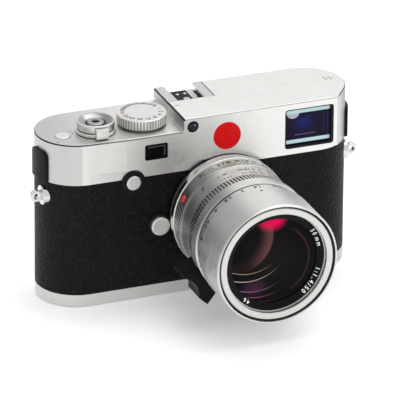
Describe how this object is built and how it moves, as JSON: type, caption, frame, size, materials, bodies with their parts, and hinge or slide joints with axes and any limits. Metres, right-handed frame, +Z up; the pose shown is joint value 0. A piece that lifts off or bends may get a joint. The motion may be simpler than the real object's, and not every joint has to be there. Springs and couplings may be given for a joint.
{
  "type": "rangefinder camera",
  "caption": "Digital rangefinder camera in satin chrome with black leatherette, a silver 50 mm lens, top dials, accessory shoe and rear display.",
  "frame": {"origin": "mouth of the tripod socket in the underside of the base plate, under the lens axis", "axes": "+X to the right seen from the front, front and lens face -Y, +Z up"},
  "size_m": [0.148, 0.0995, 0.08],
  "materials": {
    "satin_chrome": "satin",
    "satin_steel": "satin",
    "bright_steel": "satin",
    "silver_anodised": "satin",
    "black_anodised": "matte",
    "black_casting": "matte",
    "black_metal": "satin",
    "blackened_steel": "matte",
    "leatherette": "matte",
    "black_plastic": "satin",
    "red_enamel": "gloss",
    "brass": "satin",
    "coated_glass": "polished",
    "lens_glass": "polished",
    "dark_glass": "polished",
    "sensor_ceramic": "satin",
    "circuit_board": "satin"
  },
  "bodies": {
    "camera_body": {"chassis": "black_casting", "leatherette": "leatherette", "top_cover": "satin_chrome", "strap_lugs": "bright_steel", "strap_guards": "black_plastic", "body_bayonet": "bright_steel", "button_bezels": "black_metal", "finder_bezel": "black_metal", "finder_window": "coated_glass", "range_window": "dark_glass", "light_sensor": "dark_glass", "front_badge": "red_enamel", "accessory_shoe": "bright_steel", "shoe_insulator": "black_plastic", "eyepiece_ring": "black_metal", "eyepiece_glass": "coated_glass", "display_glass": "dark_glass", "tripod_socket": "bright_steel", "image_sensor": "sensor_ceramic", "shutter_unit": "satin_steel", "main_board": "circuit_board", "battery": "black_metal", "rangefinder_block": "brass", "release_collar": "satin_steel"},
    "base_plate": {"base_plate": "satin_chrome"},
    "lock_disc": {"lock_disc": "satin_steel"},
    "lock_handle": {"lock_handle": "bright_steel"},
    "power_lever": {"power_lever": "satin_steel"},
    "release_button": {"release_button": "satin_steel"},
    "speed_dial": {"speed_dial": "satin_steel"},
    "movie_button": {"movie_button": "satin_steel"},
    "thumbwheel": {"thumbwheel": "black_metal"},
    "focus_assist_button": {"focus_assist_button": "satin_steel"},
    "lens_release_button": {"lens_release_button": "satin_steel"},
    "nav_pad": {"nav_pad": "black_metal"},
    "nav_button": {"nav_button": "black_metal"},
    "rangefinder_arm": {"rangefinder_arm": "brass"},
    "live_view_button": {"live_view_button": "black_plastic"},
    "play_button": {"play_button": "black_plastic"},
    "delete_button": {"delete_button": "black_plastic"},
    "sensitivity_button": {"sensitivity_button": "black_plastic"},
    "menu_button": {"menu_button": "black_plastic"},
    "set_button": {"set_button": "black_plastic"},
    "lens_barrel": {"lens_barrel": "silver_anodised"},
    "focus_ring": {"focus_ring": "silver_anodised", "focus_tab": "black_plastic"},
    "front_group": {"front_group": "silver_anodised", "name_ring": "black_anodised", "glass_elements": "lens_glass"},
    "aperture_ring": {"aperture_ring": "silver_anodised"},
    "hood": {"hood": "silver_anodised"},
    "iris_blade_1": {"iris_blade_1": "blackened_steel"},
    "iris_blade_2": {"iris_blade_2": "blackened_steel"},
    "iris_blade_3": {"iris_blade_3": "blackened_steel"},
    "iris_blade_4": {"iris_blade_4": "blackened_steel"},
    "iris_blade_5": {"iris_blade_5": "blackened_steel"},
    "iris_blade_6": {"iris_blade_6": "blackened_steel"},
    "iris_blade_7": {"iris_blade_7": "blackened_steel"},
    "iris_blade_8": {"iris_blade_8": "blackened_steel"},
    "iris_blade_9": {"iris_blade_9": "blackened_steel"}
  },
  "joints": [
    {"name": "base_plate_swing", "type": "hinge", "parent": "camera_body", "child": "base_plate", "pos_m": [-0.0777, 0, 0.0056], "axis": [0, 1, 0], "range_deg": [0, 20]},
    {"name": "lock_turn", "type": "hinge", "parent": "base_plate", "child": "lock_disc", "pos_m": [0.046, 0, 0], "axis": [0, 0, 1], "range_deg": [0, 180]},
    {"name": "lock_handle_fold", "type": "hinge", "parent": "lock_disc", "child": "lock_handle", "pos_m": [0.046, 0, 0.00095], "axis": [0, 1, 0], "range_deg": [0, 90]},
    {"name": "power_switch", "type": "hinge", "parent": "camera_body", "child": "power_lever", "pos_m": [-0.0531, -0.005, 0.075], "axis": [0, 0, 1], "range_deg": [0, 52]},
    {"name": "release_press", "type": "slide", "parent": "camera_body", "child": "release_button", "axis": [0, 0, -1], "range_m": [0, 0.0012], "stiffness_N_per_m": 1666.7, "springref_m": -0.00048},
    {"name": "speed_dial_turn", "type": "hinge", "parent": "camera_body", "child": "speed_dial", "pos_m": [-0.032, -0.0038, 0.075], "axis": [0, 0, 1], "continuous": true},
    {"name": "movie_press", "type": "slide", "parent": "camera_body", "child": "movie_button", "axis": [0, 0, -1], "range_m": [0, 0.0003], "stiffness_N_per_m": 5000, "springref_m": -0.00012},
    {"name": "thumbwheel_turn", "type": "hinge", "parent": "camera_body", "child": "thumbwheel", "pos_m": [-0.054, 0.0124, 0.0656], "axis": [0, 0, 1], "continuous": true},
    {"name": "focus_assist_press", "type": "slide", "parent": "camera_body", "child": "focus_assist_button", "axis": [0, 1, 0], "range_m": [0, 0.0006], "stiffness_N_per_m": 2500, "springref_m": -0.00024},
    {"name": "lens_release_press", "type": "slide", "parent": "camera_body", "child": "lens_release_button", "axis": [0, 1, 0], "range_m": [0, 0.0015], "stiffness_N_per_m": 2000, "springref_m": -0.0006},
    {"name": "nav_pad_tilt", "type": "hinge", "parent": "camera_body", "child": "nav_pad", "pos_m": [-0.0478, 0.0154, 0.031], "axis": [1, 0, 0], "range_deg": [-3, 3], "stiffness_Nm_per_rad": 0.3},
    {"name": "nav_button_press", "type": "slide", "parent": "camera_body", "child": "nav_button", "axis": [0, -1, 0], "range_m": [0, 0.0005], "stiffness_N_per_m": 3000, "springref_m": -0.0002},
    {"name": "live_view_press", "type": "slide", "parent": "camera_body", "child": "live_view_button", "axis": [0, -1, 0], "range_m": [0, 0.0005], "stiffness_N_per_m": 3000, "springref_m": -0.0002},
    {"name": "play_press", "type": "slide", "parent": "camera_body", "child": "play_button", "axis": [0, -1, 0], "range_m": [0, 0.0005], "stiffness_N_per_m": 3000, "springref_m": -0.0002},
    {"name": "delete_press", "type": "slide", "parent": "camera_body", "child": "delete_button", "axis": [0, -1, 0], "range_m": [0, 0.0005], "stiffness_N_per_m": 3000, "springref_m": -0.0002},
    {"name": "sensitivity_press", "type": "slide", "parent": "camera_body", "child": "sensitivity_button", "axis": [0, -1, 0], "range_m": [0, 0.0005], "stiffness_N_per_m": 3000, "springref_m": -0.0002},
    {"name": "menu_press", "type": "slide", "parent": "camera_body", "child": "menu_button", "axis": [0, -1, 0], "range_m": [0, 0.0005], "stiffness_N_per_m": 3000, "springref_m": -0.0002},
    {"name": "set_press", "type": "slide", "parent": "camera_body", "child": "set_button", "axis": [0, -1, 0], "range_m": [0, 0.0005], "stiffness_N_per_m": 3000, "springref_m": -0.0002},
    {"name": "lens_twist", "type": "hinge", "parent": "camera_body", "child": "lens_barrel", "pos_m": [0, -0.0249, 0.0364], "axis": [0, -1, 0], "range_deg": [0, 58]},
    {"name": "focus_turn", "type": "hinge", "parent": "lens_barrel", "child": "focus_ring", "pos_m": [0, -0.043, 0.0364], "axis": [0, -1, 0], "range_deg": [0, 90]},
    {"name": "focus_travel", "type": "slide", "parent": "lens_barrel", "child": "front_group", "axis": [0, -1, 0], "range_m": [0, 0.0039]},
    {"name": "follower_swing", "type": "hinge", "parent": "camera_body", "child": "rangefinder_arm", "pos_m": [0.0155, -0.0066, 0.054], "axis": [0, 0, 1], "range_deg": [0, 16]},
    {"name": "aperture_turn", "type": "hinge", "parent": "front_group", "child": "aperture_ring", "pos_m": [0, -0.0556, 0.0364], "axis": [0, 1, 0], "range_deg": [0, 108]},
    {"name": "hood_slide", "type": "slide", "parent": "front_group", "child": "hood", "axis": [0, -1, 0], "range_m": [0, 0.01]},
    {"name": "iris_blade_1_swing", "type": "hinge", "parent": "front_group", "child": "iris_blade_1", "pos_m": [0, -0.0455, 0.0533], "axis": [0, 1, 0], "range_deg": [0, 49]},
    {"name": "iris_blade_2_swing", "type": "hinge", "parent": "front_group", "child": "iris_blade_2", "pos_m": [0.01086, -0.04575, 0.04935], "axis": [0, 1, 0], "range_deg": [0, 49]},
    {"name": "iris_blade_3_swing", "type": "hinge", "parent": "front_group", "child": "iris_blade_3", "pos_m": [0.01664, -0.046, 0.03934], "axis": [0, 1, 0], "range_deg": [0, 49]},
    {"name": "iris_blade_4_swing", "type": "hinge", "parent": "front_group", "child": "iris_blade_4", "pos_m": [0.01464, -0.04625, 0.02795], "axis": [0, 1, 0], "range_deg": [0, 49]},
    {"name": "iris_blade_5_swing", "type": "hinge", "parent": "front_group", "child": "iris_blade_5", "pos_m": [0.00578, -0.0465, 0.02052], "axis": [0, 1, 0], "range_deg": [0, 49]},
    {"name": "iris_blade_6_swing", "type": "hinge", "parent": "front_group", "child": "iris_blade_6", "pos_m": [-0.00578, -0.04675, 0.02052], "axis": [0, 1, 0], "range_deg": [0, 49]},
    {"name": "iris_blade_7_swing", "type": "hinge", "parent": "front_group", "child": "iris_blade_7", "pos_m": [-0.01464, -0.047, 0.02795], "axis": [0, 1, 0], "range_deg": [0, 49]},
    {"name": "iris_blade_8_swing", "type": "hinge", "parent": "front_group", "child": "iris_blade_8", "pos_m": [-0.01664, -0.04725, 0.03934], "axis": [0, 1, 0], "range_deg": [0, 49]},
    {"name": "iris_blade_9_swing", "type": "hinge", "parent": "front_group", "child": "iris_blade_9", "pos_m": [-0.01086, -0.0475, 0.04935], "axis": [0, 1, 0], "range_deg": [0, 49]}
  ],
  "couplings": [
    {"joint": "focus_travel", "follows": "focus_turn", "m_per_rad": 0.0024828},
    {"joint": "follower_swing", "follows": "focus_turn", "ratio": 0.17111},
    {"joint": "iris_blade_1_swing", "follows": "aperture_turn", "ratio": 0.45},
    {"joint": "iris_blade_2_swing", "follows": "aperture_turn", "ratio": 0.45},
    {"joint": "iris_blade_3_swing", "follows": "aperture_turn", "ratio": 0.45},
    {"joint": "iris_blade_4_swing", "follows": "aperture_turn", "ratio": 0.45},
    {"joint": "iris_blade_5_swing", "follows": "aperture_turn", "ratio": 0.45},
    {"joint": "iris_blade_6_swing", "follows": "aperture_turn", "ratio": 0.45},
    {"joint": "iris_blade_7_swing", "follows": "aperture_turn", "ratio": 0.45},
    {"joint": "iris_blade_8_swing", "follows": "aperture_turn", "ratio": 0.45},
    {"joint": "iris_blade_9_swing", "follows": "aperture_turn", "ratio": 0.45}
  ]
}
